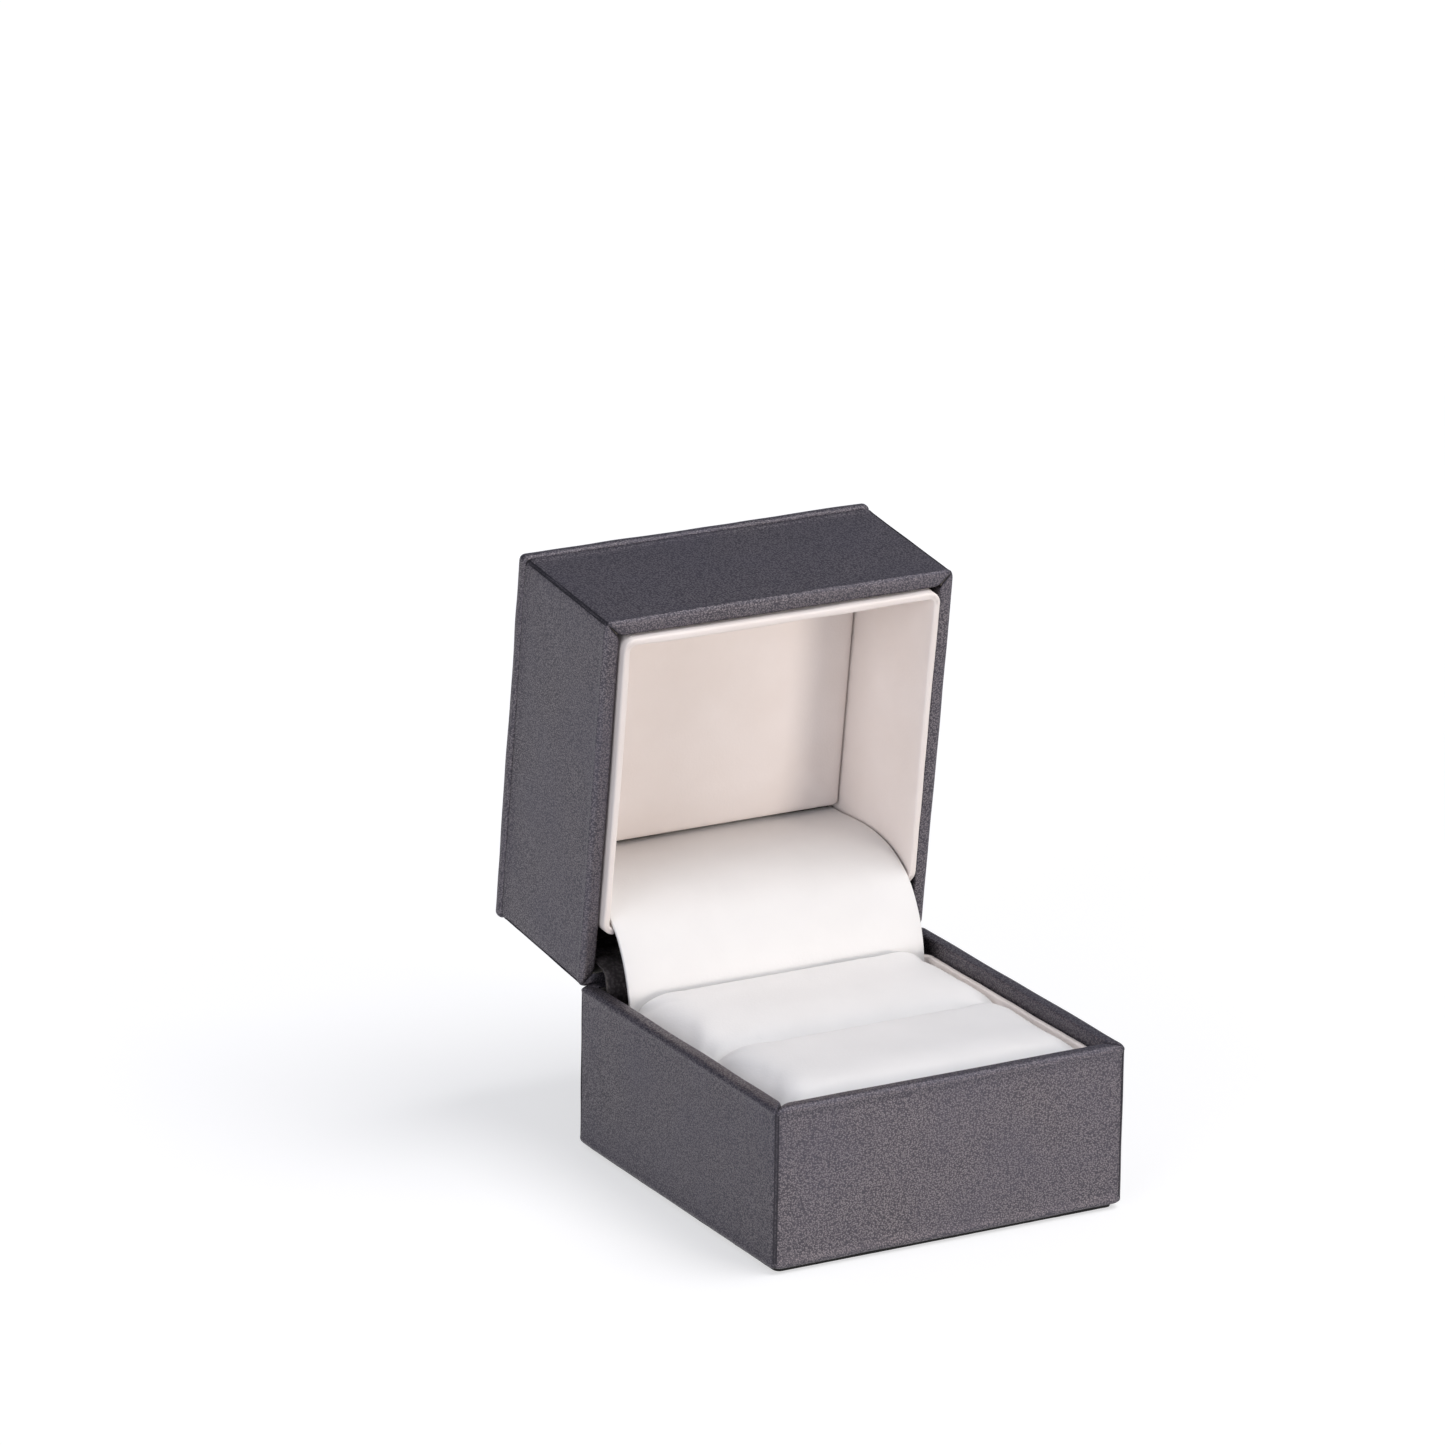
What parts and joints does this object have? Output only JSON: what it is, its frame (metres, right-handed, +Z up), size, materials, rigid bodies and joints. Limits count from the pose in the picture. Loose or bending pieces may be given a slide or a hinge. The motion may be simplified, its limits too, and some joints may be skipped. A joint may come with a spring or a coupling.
{
  "type": "ring box",
  "caption": "Small hinged ring box: leatherette-wrapped board base and lid, stitched lid top, cream lining, slotted white ring cushion and a hidden snap hinge under a soft flap.",
  "frame": {"origin": "centre of the flat underside of the foot pad, on the table", "axes": "+Z up, +X to the right seen from the front, +Y towards the hinge"},
  "size_m": [0.0578, 0.083, 0.0844],
  "materials": {
    "charcoal_leatherette": "satin",
    "black_leatherette": "satin",
    "cream_leatherette": "satin",
    "white_leatherette": "satin",
    "greyboard": "matte",
    "foam": "matte",
    "black_flock": "matte",
    "spring_steel": "satin",
    "grey_thread": "matte"
  },
  "bodies": {
    "base": {"base_back_board": "greyboard", "base_back_skin": "charcoal_leatherette", "base_floor_board": "greyboard", "base_front_board": "greyboard", "base_front_skin": "charcoal_leatherette", "base_left_board": "greyboard", "base_left_skin": "charcoal_leatherette", "base_liner": "cream_leatherette", "base_right_board": "greyboard", "base_right_skin": "charcoal_leatherette", "cushion_card": "greyboard", "foot_pad": "black_flock", "front_roll_cover": "white_leatherette", "front_roll_foam": "foam", "hinge_base_leaf": "spring_steel", "hinge_base_rivets": "spring_steel", "hinge_flap": "white_leatherette", "hinge_gusset": "black_leatherette", "hinge_pin": "spring_steel", "hinge_spine": "black_leatherette", "rear_roll_cover": "white_leatherette", "rear_roll_foam": "foam", "snap_spring": "spring_steel"},
    "lid": {"hinge_lid_leaf": "spring_steel", "hinge_lid_rivets": "spring_steel", "lid_back_board": "greyboard", "lid_back_skin": "charcoal_leatherette", "lid_deck_board": "greyboard", "lid_front_board": "greyboard", "lid_front_skin": "charcoal_leatherette", "lid_left_board": "greyboard", "lid_left_skin": "charcoal_leatherette", "lid_liner": "cream_leatherette", "lid_pad_card": "greyboard", "lid_pad_cover": "cream_leatherette", "lid_pad_foam": "foam", "lid_right_board": "greyboard", "lid_right_skin": "charcoal_leatherette", "top_panel_card": "greyboard", "top_panel_cover": "charcoal_leatherette", "top_panel_foam": "foam", "top_panel_stitching": "grey_thread"}
  },
  "joints": [
    {"name": "lid_hinge", "type": "hinge", "parent": "base", "child": "lid", "pos_m": [0, 0.028, 0.0249], "axis": [-1, 0, 0], "range_deg": [-83.2, 0], "deforming": ["snap_spring", "hinge_gusset", "hinge_flap"]}
  ]
}
